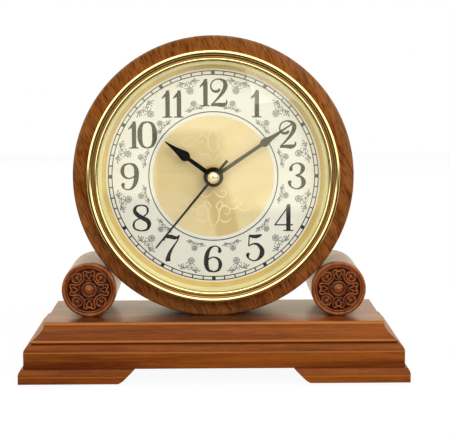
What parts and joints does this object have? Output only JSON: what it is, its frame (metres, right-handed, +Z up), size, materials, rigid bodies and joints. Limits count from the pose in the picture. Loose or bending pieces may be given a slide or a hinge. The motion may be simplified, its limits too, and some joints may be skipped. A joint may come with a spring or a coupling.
{
  "type": "table clock",
  "caption": "Round wooden table clock between two carved rolls on a moulded base, with a gold bezel, domed glass, three hands and a quartz movement.",
  "frame": {"origin": "on the table, under the middle of the foot", "axes": "+X to the right of the dial, +Y from front to back, +Z up"},
  "size_m": [0.22, 0.097, 0.195],
  "materials": {
    "walnut_lacquer": "semi-gloss lacquer",
    "carved_walnut": "gloss lacquer with dark recesses",
    "face_veneer": "semi-gloss lacquer over diagonal grain",
    "polished_gold": "polished",
    "satin_gold": "satin",
    "silver_dial": "matt silver print",
    "gilt_brass": "polished",
    "clear_glass": "polished",
    "black_hands": "satin",
    "green_felt": "matt",
    "zinc_steel": "zinc plated",
    "black_plastic": "moulded",
    "white_plastic": "moulded",
    "black_rubber": "matt",
    "brass_wheel": "turned",
    "magnet": "sintered",
    "copper_winding": "enamelled wire",
    "circuit_green": "varnished",
    "battery_sleeve": "gloss sleeve",
    "nickel_contact": "nickel plated",
    "back_panel": "stained board"
  },
  "bodies": {
    "clock_case": {"base_plinth": "walnut_lacquer", "base_top_board": "walnut_lacquer", "battery_plus_contact": "nickel_contact", "battery_spring_contact": "nickel_contact", "bezel_glass": "clear_glass", "bezel_ring": "polished_gold", "case_screws": "zinc_steel", "circuit_board": "circuit_green", "coil": "copper_winding", "dial_plate": "silver_dial", "dial_surround": "satin_gold", "dial_washer": "gilt_brass", "drum_case": "walnut_lacquer", "face_ring": "face_veneer", "felt_pads": "green_felt", "fixing_nut": "gilt_brass", "left_foot": "walnut_lacquer", "left_roll": "walnut_lacquer", "left_rosette": "carved_walnut", "movement_case": "black_plastic", "movement_cover": "black_plastic", "quartz_crystal": "zinc_steel", "right_foot": "walnut_lacquer", "right_roll": "walnut_lacquer", "right_rosette": "carved_walnut", "roll_screws": "zinc_steel", "rubber_washer": "black_rubber", "stator": "zinc_steel", "train_bridge": "white_plastic"},
    "setting_group": {"minute_hand": "black_hands", "minute_pipe": "brass_wheel"},
    "hour_group": {"hour_hand": "black_hands", "hour_wheel": "white_plastic"},
    "knob_group": {"reverser_wheel": "white_plastic", "setting_knob": "black_plastic"},
    "seconds_group": {"second_hand": "black_hands", "hand_cap": "gilt_brass", "second_wheel": "white_plastic"},
    "third_group": {"third_wheel": "white_plastic"},
    "centre_group": {"centre_wheel": "white_plastic"},
    "intermediate_group": {"intermediate_wheel": "white_plastic"},
    "rotor_group": {"rotor": "magnet"},
    "battery_cell": {"battery": "battery_sleeve"},
    "rear_cover": {"back_cover": "back_panel"}
  },
  "joints": [
    {"name": "minute_hand_turn", "type": "hinge", "parent": "clock_case", "child": "setting_group", "pos_m": [0, 0, 0.11405], "axis": [0, 1, 0], "continuous": true},
    {"name": "hour_hand_turn", "type": "hinge", "parent": "clock_case", "child": "hour_group", "pos_m": [0, 0, 0.11405], "axis": [0, 1, 0], "continuous": true},
    {"name": "setting_knob_turn", "type": "hinge", "parent": "clock_case", "child": "knob_group", "pos_m": [-0.009, 0, 0.11405], "axis": [0, 1, 0], "continuous": true},
    {"name": "second_hand_turn", "type": "hinge", "parent": "clock_case", "child": "seconds_group", "pos_m": [0, 0, 0.11405], "axis": [0, 1, 0], "continuous": true},
    {"name": "third_wheel_turn", "type": "hinge", "parent": "clock_case", "child": "third_group", "pos_m": [0.00425, 0, 0.12141], "axis": [0, 1, 0], "continuous": true},
    {"name": "centre_wheel_turn", "type": "hinge", "parent": "clock_case", "child": "centre_group", "pos_m": [0, 0, 0.11405], "axis": [0, 1, 0], "continuous": true},
    {"name": "intermediate_wheel_turn", "type": "hinge", "parent": "clock_case", "child": "intermediate_group", "pos_m": [0.00869, 0, 0.11172], "axis": [0, 1, 0], "continuous": true},
    {"name": "rotor_turn", "type": "hinge", "parent": "clock_case", "child": "rotor_group", "pos_m": [0.01459, 0, 0.11667], "axis": [0, 1, 0], "continuous": true},
    {"name": "battery_lift", "type": "slide", "parent": "clock_case", "child": "battery_cell", "axis": [0, 1, 0], "range_m": [0, 0.012]},
    {"name": "back_cover_pull", "type": "slide", "parent": "clock_case", "child": "rear_cover", "axis": [0, 1, 0], "range_m": [0, 0.03]}
  ],
  "couplings": [
    {"joint": "hour_hand_turn", "follows": "minute_hand_turn", "ratio": 0.083333},
    {"joint": "setting_knob_turn", "follows": "minute_hand_turn", "ratio": -0.33333},
    {"joint": "third_wheel_turn", "follows": "second_hand_turn", "ratio": -0.13333},
    {"joint": "centre_wheel_turn", "follows": "second_hand_turn", "ratio": 0.016667},
    {"joint": "intermediate_wheel_turn", "follows": "second_hand_turn", "ratio": -5},
    {"joint": "rotor_turn", "follows": "second_hand_turn", "ratio": 30}
  ]
}
